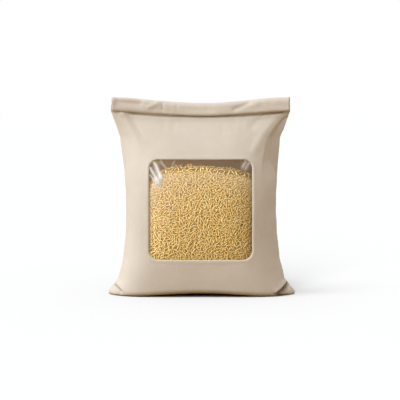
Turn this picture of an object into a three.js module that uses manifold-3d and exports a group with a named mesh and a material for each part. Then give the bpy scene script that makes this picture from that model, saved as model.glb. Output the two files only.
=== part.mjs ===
// A bag of rice: a filled cloth sack that stands on its own base. Its mouth is folded over into a band, its
// lower corners stick out as ears, and clear film behind a rounded window in the front shows the rice inside.
// Millimetres, +Z up. The window faces -Y, and the origin is under the middle of the base.
import * as THREE from "three";
import { mergeVertices } from "three/addons/utils/BufferGeometryUtils.js";
import Module from "manifold-3d";

const wasm = await Module();
wasm.setup();

// Sack
const sackHeight = 296; // floor to the two ends of the folded band
const waistWidth = 225; // the narrowest width
const waistLow = 100; // the sides run straight between these two heights
const waistHigh = 150;
const hemWidth = 250; // across the sides at the height below, just above the ears
const hemLevel = 25;
const hemFlare = 2; // powers that set how gently the sides spread, to the hem and to the mouth
const mouthFlare = 2.3;
const sackDepth = 106; // front to back where the sack is fullest
const fullestLevel = 90;
const baseTaper = 5; // how much nearer each face is to the middle at the floor than where it is fullest
const closingDelay = 2.8; // powers that set how the faces close in from there to the mouth
const closingBend = 1.1;
const faceFlatness = 4; // powers of a level cut: higher is a flatter face
const baseFlatness = 5;
const mouthFlatness = 3.2;
const sideRoundness = 0.5; // and lower is a fuller side
const mouthRoundness = 0.85;
const baseRadius = 14; // rounding all round the base
const clothWall = 1.6;
const cavityTop = 259; // the hollow ends here, where the two faces come together

// Folded mouth
const mouthLevel = 274; // where the body goes in under the band, at its two ends
const mouthWidth = 267;
const mouthDepth = 10;
const bandWidth = 270;
const bandHeight = 21.5;
const bandThickness = 14;
const bandLean = 1.5; // how far the band lies in front of the sack's middle
const bandCorner = 0.5; // power of the band's section: lower is squarer
const bandSag = 9.5; // the band's top hangs this much lower in the middle than at its ends
const bandFootSag = 7; // and its lower edge this much
const sagBend = 1.6; // power that levels the sag out near the ends
const sagStart = 190; // the sag dies out down the body at this height

// Ears
const earSpan = 277.6; // from tip to tip
const earRoot = 104; // distance of an ear's hidden inner end from the middle
const earRise = 42; // how much higher the ear is at its inner end than at its tip
const earTipHeight = 5;
const earSlope = 0.8; // power that rounds the ear's edges
const earDepth = 76; // front to back at the inner end
const earTipDepth = 9;
const earCorner = 0.7; // power of the ear's section: lower is squarer
const earLift = 0.5; // clearance of an ear over the floor

// Window and its film
const windowWidth = 151;
const windowHeight = 148;
const windowLevel = 57; // lower edge
const windowRadius = 14;
const filmLap = 9; // how far the film reaches past the window's edge, behind the cloth
const filmThickness = 0.5;
const gap = 0.4; // between cloth, film and rice

// Rice
const fillLevel = 198; // top of the heap as it lies against the film
const domeRise = 5; // how much higher the heap is in its middle
const heapPeak = -10; // where along the front the heap is highest
const heapFall = 11; // drop of the heap from there to the window's right edge
const hollowStart = -45; // beyond this the heap falls away more, at the left
const hollowFall = 16;
const grainWidth = 1.4;
const bumpSpacing = 4; // a little over half a grain's length
const reliefReach = 84; // the grain relief goes this far to each side of the middle
const reliefLow = 50; // and starts at this height

// Numbers of faces
const frontSteps = 26; // along the front of the sack, and as many along the back
const baseSteps = 4;
const bodySteps = 10;
const shoulderSteps = 9;
const bandSteps = 22;
const bandSides = 14;
const earSteps = 6;
const earSides = 14;
const domeRings = 5;
const flankSteps = 4; // on the rice, from the relief round to each side
const backSteps = 10;

const clamp = THREE.MathUtils.clamp;
const lerp = THREE.MathUtils.lerp;
const smoothstep = THREE.MathUtils.smoothstep;

// Half the width of the sack at a height: straight at the waist, and spreading to the mouth and to the hem.
function halfWidth(z) {
  const waist = waistWidth / 2;
  if (z > waistHigh) {
    return lerp(waist, mouthWidth / 2, Math.min((z - waistHigh) / (mouthLevel - waistHigh), 1) ** mouthFlare);
  }
  if (z < waistLow) {
    return lerp(waist, hemWidth / 2, ((waistLow - z) / (waistLow - hemLevel)) ** hemFlare);
  }
  return waist;
}

// Half the depth at a height: full low down, then closing in nearly straight lines to the flat mouth.
function halfDepth(z) {
  const full = sackDepth / 2;
  if (z < fullestLevel) {
    return full - baseTaper * ((fullestLevel - z) / fullestLevel) ** 2;
  }
  const rise = clamp((z - fullestLevel) / (mouthLevel - fullestLevel), 0, 1);
  return lerp(mouthDepth / 2, full, (1 - rise ** closingDelay) ** closingBend);
}

// How far the rounding of the base draws a layer in at a height, for a layer this deep under the outside.
function baseInset(z, depth) {
  const radius = baseRadius - depth;
  const below = Math.max(baseRadius - z, 0);
  return radius - Math.sqrt(Math.max(radius * radius - below * below, 0));
}

// How low an edge hangs at a place along the front, where sag is how low it hangs in the middle.
function sagAt(x, sag) {
  return sag * Math.max(1 - (x / (bandWidth / 2)) ** 2, 0) ** sagBend;
}

// A point of a layer of the sack. side is 1 on the front and -1 on the back, and across runs from -1 to 1.
// The faces are flat in their middle. The sides are round low down and thin out to an edge at the mouth.
function layerPoint(z, across, side, depth) {
  const shoulder = smoothstep(z, waistHigh, mouthLevel);
  const foot = 1 - smoothstep(z, 0, waistLow);
  const flatness = lerp(lerp(faceFlatness, baseFlatness, foot), mouthFlatness, shoulder);
  const roundness = lerp(sideRoundness, mouthRoundness, shoulder);
  const drawn = depth + baseInset(z, depth);
  const x = across * (halfWidth(z) - drawn);
  const y = -side * (halfDepth(z) - drawn) * Math.max(1 - Math.abs(across) ** flatness, 0) ** roundness;
  return new THREE.Vector3(x, y, z - sagAt(x, bandSag) * smoothstep(z, sagStart, mouthLevel));
}

// One ring of a layer, anticlockwise from above, starting at the right side and running along the back.
function layerRing(z, depth) {
  const ring = [];
  for (let step = 0; step < 2 * frontSteps; step += 1) {
    const turn = (Math.PI * step) / frontSteps;
    ring.push(layerPoint(z, Math.cos(turn), step < frontSteps ? -1 : 1, depth));
  }
  return ring;
}

// A closed shape through rings of equal length, with each end closed by a fan.
function loft(rings) {
  const count = rings[0].length;
  const points = rings.flat();
  const faces = [];
  for (let level = 0; level + 1 < rings.length; level += 1) {
    for (let step = 0; step < count; step += 1) {
      const here = level * count + step;
      const next = level * count + ((step + 1) % count);
      faces.push(here, next, next + count, here, next + count, here + count);
    }
  }
  const ends = [[0, true], [(rings.length - 1) * count, false]];
  for (const [start, turned] of ends) {
    const centre = new THREE.Vector3();
    for (let step = 0; step < count; step += 1) {
      centre.addScaledVector(points[start + step], 1 / count);
    }
    points.push(centre);
    for (let step = 0; step < count; step += 1) {
      const edge = [start + step, start + ((step + 1) % count)];
      faces.push(points.length - 1, ...(turned ? edge.reverse() : edge));
    }
  }
  const geometry = new THREE.BufferGeometry().setFromPoints(points);
  geometry.setIndex(faces);
  return geometry;
}

// A geometry as a solid that can be cut and joined.
function solidOf(geometry) {
  const plain = geometry.clone();
  plain.deleteAttribute("normal");
  plain.deleteAttribute("uv");
  const merged = mergeVertices(plain, 1e-4);
  return new wasm.Manifold(new wasm.Mesh({
    numProp: 3,
    vertProperties: new Float32Array(merged.attributes.position.array),
    triVerts: new Uint32Array(merged.index.array),
  }));
}

function geometryOf(solid) {
  const mesh = solid.getMesh();
  const geometry = new THREE.BufferGeometry();
  geometry.setAttribute("position", new THREE.BufferAttribute(new Float32Array(mesh.vertProperties), 3));
  geometry.setIndex(new THREE.BufferAttribute(new Uint32Array(mesh.triVerts), 1));
  geometry.computeVertexNormals();
  return geometry;
}

// Heights of the rings of a layer, from its floor over the rounded base to the given top.
function layerLevels(depth, top) {
  const levels = [];
  for (let step = 0; step < baseSteps; step += 1) {
    const turn = (Math.PI / 2) * (step / baseSteps);
    levels.push(baseRadius - (baseRadius - depth) * Math.cos(turn));
  }
  for (let step = 0; step < bodySteps; step += 1) {
    levels.push(lerp(baseRadius, sagStart, step / bodySteps));
  }
  for (let step = 0; step <= shoulderSteps; step += 1) {
    levels.push(lerp(sagStart, top, step / shoulderSteps));
  }
  return levels;
}

function layerSolid(depth, top) {
  return solidOf(loft(layerLevels(depth, top).map((z) => layerRing(z, depth))));
}

// A point of a soft-cornered section of half size 1, at a share of the way round it.
function sectionPoint(share, corner) {
  const out = Math.cos(2 * Math.PI * share);
  const up = Math.sin(2 * Math.PI * share);
  return [Math.sign(out) * Math.abs(out) ** corner, Math.sign(up) * Math.abs(up) ** corner];
}

// The mouth folded over to the front: a thick soft-cornered bar that hangs lower in its middle.
function foldedBand() {
  const rings = [];
  for (let step = 0; step <= bandSteps; step += 1) {
    const x = lerp(-bandWidth / 2, bandWidth / 2, step / bandSteps);
    const top = sackHeight - sagAt(x, bandSag);
    const bottom = sackHeight - bandHeight - sagAt(x, bandFootSag);
    const ring = [];
    for (let side = 0; side < bandSides; side += 1) {
      const [out, up] = sectionPoint((side + 0.5) / bandSides, bandCorner);
      ring.push(new THREE.Vector3(x, (out * bandThickness) / 2 - bandLean, lerp(bottom, top, (up + 1) / 2)));
    }
    rings.push(ring);
  }
  return solidOf(loft(rings));
}

// A lower corner of the sack, drawn out to a blunt tip. side is -1 at the left and 1 at the right.
function ear(side) {
  const rings = [];
  for (let step = 0; step <= earSteps; step += 1) {
    const share = 1 - step / earSteps;
    const growth = share ** earSlope;
    const x = side * lerp(earSpan / 2, earRoot, share);
    const high = earLift + earTipHeight + earRise * growth;
    const deep = lerp(earTipDepth, earDepth, growth) / 2;
    const ring = [];
    for (let corner = 0; corner < earSides; corner += 1) {
      const [out, up] = sectionPoint((corner + 0.5) / earSides, earCorner);
      ring.push(new THREE.Vector3(x, out * deep, lerp(earLift, high, (up + 1) / 2)));
    }
    rings.push(ring);
  }
  return solidOf(loft(side > 0 ? rings : rings.reverse()));
}

// A rounded square bar through the front, this much larger than the window on every side.
function windowBar(margin) {
  const right = windowWidth / 2 + margin;
  const low = windowLevel - margin;
  const high = windowLevel + windowHeight + margin;
  const radius = windowRadius + margin;
  const outline = new THREE.Shape();
  outline.absarc(right - radius, low + radius, radius, -Math.PI / 2, 0);
  outline.absarc(right - radius, high - radius, radius, 0, Math.PI / 2);
  outline.absarc(radius - right, high - radius, radius, Math.PI / 2, Math.PI);
  outline.absarc(radius - right, low + radius, radius, Math.PI, 1.5 * Math.PI);
  const bar = new THREE.ExtrudeGeometry(outline, { depth: sackDepth, bevelEnabled: false, curveSegments: 5 });
  bar.rotateX(Math.PI / 2);
  bar.translate(0, -halfDepth(sagStart) / 2, 0);
  return solidOf(bar);
}

// The cloth: one piece with the band and both ears, hollow, and open at the window.
function sackSolid() {
  const bandMiddle = sackHeight - bandHeight / 2;
  const outside = layerSolid(0, bandMiddle).add(foldedBand()).add(ear(-1)).add(ear(1));
  return outside.subtract(layerSolid(clothWall, cavityTop)).subtract(windowBar(0));
}

// The clear sheet behind the window, curved as the front is.
function filmSolid() {
  const outer = clothWall + gap;
  const sheet = layerSolid(outer, mouthLevel).subtract(layerSolid(outer + filmThickness, mouthLevel));
  return sheet.intersect(windowBar(filmLap));
}

// Repeatable random numbers from 0 to 1.
function seededRandom(seed) {
  let state = seed;
  return () => {
    state = (state * 1664525 + 1013904223) % 4294967296;
    return state / 4294967296;
  };
}

// Height of the rice against the film at a place along the front.
function heapLevel(x) {
  const toEdge = (x - heapPeak) / (windowWidth / 2 - heapPeak);
  const inHollow = Math.max(hollowStart - x, 0) / (windowWidth / 2 + hollowStart);
  return fillLevel - heapFall * toEdge * toEdge - hollowFall * Math.min(inHollow, 1) ** 2;
}

// The places round the rice: close together where the window shows them, and wider apart elsewhere.
function ricePlaces() {
  const reliefEdge = reliefReach / (waistWidth / 2);
  const edgeTurn = Math.acos(reliefEdge);
  const frontSpaces = Math.round((2 * reliefReach) / bumpSpacing);
  const places = [];
  for (let step = 0; step < backSteps; step += 1) {
    places.push([Math.cos((Math.PI * step) / backSteps), -1]);
  }
  for (let step = 0; step < flankSteps; step += 1) {
    places.push([-Math.cos((edgeTurn * step) / flankSteps), 1]);
  }
  for (let step = 0; step < frontSpaces; step += 1) {
    places.push([lerp(-reliefEdge, reliefEdge, step / frontSpaces), 1]);
  }
  for (let step = 0; step < flankSteps; step += 1) {
    places.push([Math.cos(edgeTurn * (1 - step / flankSteps)), 1]);
  }
  return places;
}

// A point of the rice, where level is its height on a heap that is as high everywhere as at its peak.
function ricePoint(level, across, side, depth) {
  const x = layerPoint(level, across, side, depth).x;
  const z = level * lerp(1, heapLevel(x) / fillLevel, smoothstep(level, reliefLow, fillLevel));
  const point = layerPoint(z, across, side, depth);
  point.z = z;
  return point;
}

// The rice: one heap that fills the sack, with bumps as large as its grains where they can be seen.
function riceGeometry() {
  const random = seededRandom(7);
  const places = ricePlaces();
  const depth = clothWall + filmThickness + 2 * gap;
  const spaces = Math.round((fillLevel - reliefLow) / bumpSpacing);
  const smoothLevels = [depth, (depth + baseRadius) / 2, baseRadius, (baseRadius + reliefLow) / 2];
  const levels = [...smoothLevels];
  for (let step = 0; step <= spaces; step += 1) {
    levels.push(lerp(reliefLow, fillLevel, step / spaces));
  }
  const rings = levels.map((level) => places.map(([across, side]) => {
    const bump = level < reliefLow ? 0 : grainWidth * random();
    return ricePoint(level, across, side, depth + bump);
  }));
  const rim = rings[rings.length - 1];
  for (let ring = 1; ring < domeRings; ring += 1) {
    const share = 1 - ring / domeRings;
    rings.push(rim.map((point) => new THREE.Vector3(
      point.x * share,
      point.y * share,
      lerp(fillLevel, point.z, share) + domeRise * (1 - share * share) + grainWidth * random(),
    )));
  }
  return loft(rings);
}

function namedMesh(name, geometry, finish) {
  const mesh = new THREE.Mesh(geometry, new THREE.MeshStandardMaterial(finish));
  mesh.name = name;
  return mesh;
}

const bagOfRice = new THREE.Group();
bagOfRice.add(
  namedMesh("sack", geometryOf(sackSolid()), { color: 0xd8c9b5, roughness: 0.9, metalness: 0 }),
  namedMesh("window_film", geometryOf(filmSolid()), {
    color: 0xf2efe8,
    roughness: 0.08,
    metalness: 0,
    transparent: true,
    opacity: 0.25,
  }),
  namedMesh("rice", riceGeometry(), { color: 0xe0b873, roughness: 0.6, metalness: 0 }),
);

export default bagOfRice;
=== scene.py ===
import math

import bpy
import numpy as np
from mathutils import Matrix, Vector, noise


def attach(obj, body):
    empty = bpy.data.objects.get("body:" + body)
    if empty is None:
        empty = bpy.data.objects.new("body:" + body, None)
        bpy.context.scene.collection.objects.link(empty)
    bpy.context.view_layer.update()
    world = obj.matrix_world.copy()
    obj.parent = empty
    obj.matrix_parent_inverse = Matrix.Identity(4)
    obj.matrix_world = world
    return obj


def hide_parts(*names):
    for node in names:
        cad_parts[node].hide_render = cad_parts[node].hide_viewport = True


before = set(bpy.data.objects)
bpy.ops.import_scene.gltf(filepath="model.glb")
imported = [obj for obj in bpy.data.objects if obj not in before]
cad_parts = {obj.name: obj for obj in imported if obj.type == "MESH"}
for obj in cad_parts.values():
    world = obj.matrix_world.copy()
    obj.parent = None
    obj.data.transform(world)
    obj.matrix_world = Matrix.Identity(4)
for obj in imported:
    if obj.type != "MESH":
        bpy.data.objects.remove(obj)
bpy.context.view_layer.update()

print("bag of rice: the frame is in, with", ", ".join(sorted(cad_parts)))

mm = 0.001  # sizes below are in millimetres, and meshes are made in metres

# The sack stands on the floor with its window towards -Y. Cut level, it is a rounded box that thins out
# to a flat mouth at the top and rolls over into the base at the bottom.
sackShape = {
    "waistWidth": 225, "waistLow": 100, "waistHigh": 150,
    "hemWidth": 250, "hemLevel": 25, "hemFlare": 2.0,
    "mouthWidth": 267, "mouthDepth": 10, "mouthLevel": 274, "mouthFlare": 2.3,
    "depth": 106, "fullestLevel": 90, "baseTaper": 5, "closingDelay": 2.8, "closingBend": 1.1,
    "faceFlatness": 4.0, "baseFlatness": 5.0, "mouthFlatness": 3.2,
    "sideRoundness": 0.5, "mouthRoundness": 0.85,
    "baseRadius": 8, "lift": 5.2, "liftReach": 108, "liftTop": 30, "liftDepth": 40,
    "sag": 8.9, "sagWidth": 270, "sagBend": 1.85, "sagStart": 190,
    "topLevel": 284, "topDepth": 5,
    "cloth": 1.1, "cornerInset": 0.4, "raisedTo": 60,
    "columns": 104, "rows": 100, "rings": 72, "crowding": 0.5,
    # how much further out each side hangs, by height
    "sideHeights": [0, 23, 30, 40, 55, 64, 79, 94, 109, 124,
                    155, 167, 191, 215, 227, 233, 239, 245, 251, 265],
    "leftSide": [0, -1.3, -0.7, -0.2, 0, 0.8, 1.3, 0.5, 0.2, 0.4,
                 0.5, 1.2, 1.2, 1.4, 0.7, -0.4, -0.6, 0.5, 0.4, 1.2],
    "rightSide": [0, 0.2, 1.6, 2, 1.2, 2.2, 2.5, 1.7, 1.3, 0,
                  0.2, 1.2, 1, -0.4, -1.7, -3, -3, -1.7, -0.6, -0.3],
}
# the corners of the base, pinched out sideways: how far, by height, on the left and on the right
earShape = {"heights": [0, 2.4, 5.4, 8.4, 11.4, 14.4, 17.4, 20.4, 23.5],
            "left": [5.6, 6.2, 7.2, 6.9, 5.9, 3.6, 2.9, 1.8, 0],
            "right": [7.6, 8.3, 8.5, 7.6, 5.2, 4.7, 4.0, 2.2, 0],
            "halfDepth": 34, "point": 1.3, "start": 88, "full": 122}
windowShape = {"width": 154.2, "shift": -0.4, "height": 147.8, "low": 55.9, "radius": 14,
               "lip": 1.2, "edge": 1.95, "hem": 6, "swell": 0.3}


def crowded(count, crowding):
    # steps from 0 to 1 that lie closer together at both ends
    share = np.linspace(0, 1, count + 1)
    return share - crowding * np.sin(2 * math.pi * share) / (2 * math.pi)


def smooth(value, low, high):
    share = np.clip((value - low) / (high - low), 0, 1)
    return share * share * (3 - 2 * share)


def fading(distance, reach):
    return np.exp(-np.maximum(distance, 0) / reach)


def blend(a, b, share):
    return a + (b - a) * share


def halfWidthAt(z):
    s = sackShape
    waist = s["waistWidth"] / 2
    up = np.clip((z - s["waistHigh"]) / (s["mouthLevel"] - s["waistHigh"]), 0, 1) ** s["mouthFlare"]
    down = (np.maximum(s["waistLow"] - z, 0) / (s["waistLow"] - s["hemLevel"])) ** s["hemFlare"]
    return waist + (s["mouthWidth"] / 2 - waist) * up + (s["hemWidth"] / 2 - waist) * down


def halfDepthAt(z):
    s = sackShape
    full = s["depth"] / 2
    low = full - s["baseTaper"] * (np.maximum(s["fullestLevel"] - z, 0) / s["fullestLevel"]) ** 2
    rise = np.clip((z - s["fullestLevel"]) / (s["mouthLevel"] - s["fullestLevel"]), 0, 1)
    high = blend(s["mouthDepth"] / 2, full, (1 - rise ** s["closingDelay"]) ** s["closingBend"])
    high = blend(high, s["topDepth"] / 2, smooth(z, s["mouthLevel"], s["topLevel"]))
    return np.where(z < s["fullestLevel"], low, high)


def baseInset(z, depth):
    # how far the rounding of the base draws the cloth in at a level
    radius = sackShape["baseRadius"] - depth
    below = np.maximum(sackShape["baseRadius"] - z, 0)
    return radius - np.sqrt(np.maximum(radius * radius - below * below, 0))


def sagAt(x, sag):
    half = sackShape["sagWidth"] / 2
    return sag * np.maximum(1 - (x / half) ** 2, 0) ** sackShape["sagBend"]


def boxCut(turn, z, depth):
    # one level cut, a face at a time: how far across and how far out the cloth is
    s = sackShape
    across = np.sin(turn)
    shoulder = smooth(z, s["waistHigh"], s["mouthLevel"])
    foot = 1 - smooth(z, 0, s["waistLow"])
    flatness = blend(blend(s["faceFlatness"], s["baseFlatness"], foot), s["mouthFlatness"], shoulder)
    roundness = blend(s["sideRoundness"], s["mouthRoundness"], shoulder)
    inset = baseInset(z, depth)
    out = (halfDepthAt(z) - depth - inset) * np.maximum(1 - np.abs(across) ** flatness, 0) ** roundness
    hang = np.where(across < 0, np.interp(z, s["sideHeights"], s["leftSide"]),
                    np.interp(z, s["sideHeights"], s["rightSide"]))
    sidewards = halfWidthAt(z) - depth - s["cornerInset"] * inset + hang * smooth(np.abs(across), 0.75, 1)
    return across * sidewards, out


def sackPoint(turn, level, side, depth=0.0):
    # turn runs from -90 to 90 degrees across a face, and side is 1 in front and -1 behind.
    # Below level 0 the cloth runs on under the base, to a seam along its middle.
    s = sackShape
    above = np.maximum(level, 0)
    z = above + depth * (1 - smooth(above, 0, s["raisedTo"]))
    x, out = boxCut(turn, z, depth)
    out = np.maximum(out + np.minimum(level, 0), 0)
    e = earShape
    reach = np.where(x < 0, np.interp(z, e["heights"], e["left"]), np.interp(z, e["heights"], e["right"]))
    tip = np.maximum(1 - out / e["halfDepth"], 0) ** e["point"]
    x = x + np.sign(x) * reach * tip * smooth(np.abs(x), e["start"], e["full"])
    middle = np.maximum(1 - (x / s["liftReach"]) ** 2, 0) ** 2
    lift = s["lift"] * middle * (1 - smooth(z, 0, s["liftTop"])) * smooth(out, 0, s["liftDepth"])
    z = z - sagAt(x, s["sag"]) * smooth(z, s["sagStart"], s["mouthLevel"]) + lift
    return np.stack([x, -side * out, z], -1)


def baseReach(turn):
    # from the edge of the base to the seam along its middle
    zero = np.zeros_like(turn)
    return boxCut(turn, zero, 0.0)[1]


def faceSpot(x, z):
    # the turn and level of a place on the front
    s = sackShape
    level = z
    for _ in range(4):
        level = z + sagAt(x, s["sag"]) * smooth(level, s["sagStart"], s["mouthLevel"])
    return np.arcsin(np.clip(x / halfWidthAt(level), -1, 1)), level


def roundedSquare(width, height, low, radius, columns, rows):
    # evenly spaced points, anticlockwise from the middle of the lower left corner
    right, top = width / 2 - radius, low + height - radius
    steps = 32
    path = []
    centres = [(-right, low + radius), (right, low + radius), (right, top), (-right, top)]
    for corner, (x, z) in enumerate(centres):
        angle = np.radians(np.linspace(180, 270, steps + 1) + 90 * corner)
        path.append(np.column_stack([x + radius * np.cos(angle), z + radius * np.sin(angle)]))
    path = np.roll(np.concatenate(path), -steps // 2, axis=0)
    path = np.concatenate([path, path[:1]])
    along = wayAlong(path)
    corners = along[::steps + 1]
    spots = [np.linspace(corners[side], corners[side + 1], [columns, rows][side % 2], endpoint=False)
             for side in range(4)]
    spots = np.concatenate(spots)
    return np.interp(spots, along, path[:, 0]), np.interp(spots, along, path[:, 1])


def wayAlong(path):
    # how far along a line of points each of them lies
    return np.concatenate([[0], np.cumsum(np.linalg.norm(np.diff(path, axis=0), axis=1))])


def segmentFall(x, z, path):
    # distance to a line of points on the front, which side of it a spot is on, and how far along it
    best = np.full(x.shape, 1e9)
    hand = np.zeros(x.shape)
    share = np.zeros(x.shape)
    points = np.array(path, float)
    lengths = np.linalg.norm(np.diff(points, axis=0), axis=1)
    total = lengths.sum()
    done = 0.0
    for start, end, length in zip(points[:-1], points[1:], lengths):
        way = (end - start) / length
        run = np.clip((x - start[0]) * way[0] + (z - start[1]) * way[1], 0, length)
        dx = x - start[0] - run * way[0]
        dz = z - start[1] - run * way[1]
        far = np.hypot(dx, dz)
        nearer = far < best
        best = np.where(nearer, far, best)
        hand = np.where(nearer, np.sign(way[0] * dz - way[1] * dx), hand)
        share = np.where(nearer, (done + run) / total, share)
        done += length
    return best, hand, share


# A fold follows a line of places on the front (across, up). Along the line it fades in up to one share of
# its length and out from another. A shadow is painted shade: how deep and how wide the fold darkens the
# cloth's colour.
def ridge(out, wide, fade, *path, shadow=(0, 1)):
    # the cloth stands out along the line, or in where out is below 0
    return {"path": path, "out": out, "wide": wide, "fade": fade, "shadow": shadow}


def shadowLine(depth, wide, fade, *path):
    # a painted shadow alone, where a fold is too narrow for the mesh
    return ridge(0, 1, fade, *path, shadow=(depth, wide))


def lap(step, wide, fade, *path):
    # cloth over cloth: it stands out on the line's one side and in on the other
    return {**ridge(0, wide, fade, *path), "step": step}


def turnAway(fall, wide, fade, *path):
    # beyond the line the cloth falls back, this far within this width
    return {**ridge(0, wide, fade, *path), "fall": fall}


sackFolds = [
    ridge(3.0, 6.5, (0.02, 0.2), (-121, 276), (-117, 269), (-106, 253), (-98, 240), (-90, 220),
          (-86, 200)),
    ridge(-1.0, 5, (0.1, 0.3), (-112, 273), (-105, 264), (-96, 250), (-89, 238), (-81, 220)),
    ridge(1.6, 7, (0.02, 0.8), (128, 273), (111, 263), (101, 251), (91, 238), (82, 222), (72, 205)),
    turnAway(11, 15, (0.04, 0.62), (134, 272), (121, 264), (110.5, 252), (101, 239), (95, 222), (91, 200),
             (91, 165)),
    ridge(-1.2, 6, (0.2, 0.7), (98, 270), (86, 262), (77, 253), (70, 243)),
    lap((1.8, 2.6), 5, (0.05, 0.8), (-129, 16.5), (-123, 12), (-115, 6)),
    ridge(-1.6, 1.3, (0.05, 0.8), (-130, 16), (-125, 13), (-117, 7), shadow=(0.5, 1.4)),
    ridge(0.8, 2, (0.2, 0.8), (-131, 13), (-125, 9), (-119, 6)),
    shadowLine(0.95, 1.7, (0.05, 0.97), (110.6, 2), (118, 7.2), (124.5, 12.8), (130, 18.8)),
    shadowLine(0.6, 2.3, (0.05, 0.95), (113, 0), (120, 4.8), (126.4, 10.4), (132, 16.6)),
    shadowLine(0.45, 1.4, (0.1, 0.95), (114, 1.0), (124, 1.6), (132, 2.6)),
    ridge(1.2, 4.2, (0.02, 0.98), (-124, 270.5), (-90, 266.6), (-60, 264.8), (-20, 264), (20, 264),
          (60, 264.8), (90, 266.6), (124, 270.5)),
    lap((3.6, 4.4), 5.5, (0.1, 0.97), (110, 3), (117, 8), (123.5, 13.5), (129, 19.5)),
    ridge(-2.4, 1.6, (0.08, 0.97), (110, 2.5), (118, 8), (124.5, 13.5), (129.5, 18.5)),
    ridge(1.1, 1.4, (0.1, 0.9), (119, 3), (127, 9), (131, 13)),
    ridge(0.8, 2, (0.2, 0.8), (132, 12), (122, 4)),
    ridge(-1.2, 1.5, (0.3, 0.8), (122.5, 27), (123.5, 20)),
    ridge(-0.35, 2.5, (0.1, 0.6), (33, 262), (33, 246), (31, 232)),
    ridge(-0.5, 2.5, (0.1, 0.6), (-40, 262), (-41, 250), (-41, 240)),
    ridge(-0.4, 2.2, (0.1, 0.6), (-57, 264), (-56, 250), (-54, 243)),
    ridge(0.3, 3.5, (0.1, 0.6), (58, 264), (55, 248), (54, 236)),
    ridge(-1.8, 1.7, (0.02, 0.98), (-108, 271.5), (-90, 269.6), (-60, 267.6), (-20, 266.8), (20, 266.8),
          (60, 267.6), (90, 269.6), (110, 271.5), (124, 273), shadow=(0.3, 1.3)),
]
clothRules = {
    "coarse": 0.9, "coarseSize": 70, "fine": 0.22, "fineSize": 21, "calmTop": 16, "halfRound": 140,
    "seamPinch": 0.7, "seamWidth": 1.6, "pucker": 0.28, "puckerPitch": 8.5, "puckerReach": 7,
    "foldsEnd": (274, 282), "seamClear": 11, "deepest": 0.55,
    "cornerFrom": (95, 108), "cornerTop": (30, 45), "cornerIn": 5.5,
}


def foldsAt(x, z, folds, shadows=False):
    total = np.zeros(x.shape)
    for fold in folds:
        far, hand, share = segmentFall(x, z, fold["path"])
        start, end = fold["fade"]
        strength = smooth(share, 0, start) * (1 - smooth(share, end, 1))
        if shadows:
            depth, width = fold["shadow"]
            height = depth * np.exp(-(far / width) ** 2)
        elif "step" in fold:
            side = np.tanh(hand * far / 0.8)
            height = np.where(side > 0, *fold["step"]) * side * np.exp(-far / fold["wide"])
        elif "fall" in fold:
            height = -fold["fall"] * np.where(hand > 0, 1 - np.exp(-far / fold["wide"]), 0)
        else:
            height = fold["out"] * np.exp(-(far / fold["wide"]) ** 2)
        total += strength * height
    return total


def driftAt(points, size, seed):
    # slow unevenness of the cloth, from -1 to 1
    return np.array([noise.noise(Vector(p) / size + Vector((seed, seed, seed))) for p in points])


def newPiece(name, points, faces):
    mesh = bpy.data.meshes.new(name)
    places = (np.asarray(points) * mm).tolist()
    mesh.from_pydata(places, [], [tuple(int(i) for i in face) for face in faces])
    mesh.validate()
    mesh.update()
    mesh.shade_smooth()
    piece = bpy.data.objects.new(name, mesh)
    bpy.context.scene.collection.objects.link(piece)
    return piece


def giveThreads(piece, spots):
    # a map in millimetres of cloth, so that the weave follows the sack
    layer = piece.data.uv_layers.new(name="threads")
    loops = np.empty(len(piece.data.loops), int)
    piece.data.loops.foreach_get("vertex_index", loops)
    layer.data.foreach_set("uv", (np.asarray(spots)[loops] * mm).ravel())


def giveValues(piece, name, values):
    layer = piece.data.attributes.new(name, "FLOAT", "POINT")
    layer.data.foreach_set("value", np.ascontiguousarray(values, float))


def tubeFaces(rings, count):
    # the faces between closed rings of points, ring after ring
    faces = []
    for i in range(rings - 1):
        for j in range(count):
            k = (j + 1) % count
            faces.append((i * count + j, i * count + k, (i + 1) * count + k, (i + 1) * count + j))
    return faces


def cutFrontPanel():
    # rings of cloth from the edge of the window out to the seams, as turns and levels
    s, w = sackShape, windowShape
    columns, rows, rings = s["columns"], s["rows"], s["rings"]
    innerX, innerZ = roundedSquare(w["width"], w["height"], w["low"], w["radius"], columns, rows)
    innerTurn, innerLevel = faceSpot(innerX + w["shift"], innerZ)
    across = np.linspace(-math.pi / 2, math.pi / 2, columns + 1)
    up = s["topLevel"] * crowded(rows, s["crowding"])
    outerTurn = np.concatenate([across[:-1], np.full(rows, across[-1]),
                                across[:0:-1], np.full(rows, across[0])])
    outerLevel = np.concatenate([-baseReach(across[:-1]), up[:-1],
                                 np.full(columns, up[-1]), up[:0:-1]])
    share = crowded(rings, s["crowding"])[:, None]
    return blend(innerTurn, outerTurn, share), blend(innerLevel, outerLevel, share), across, up


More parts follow.
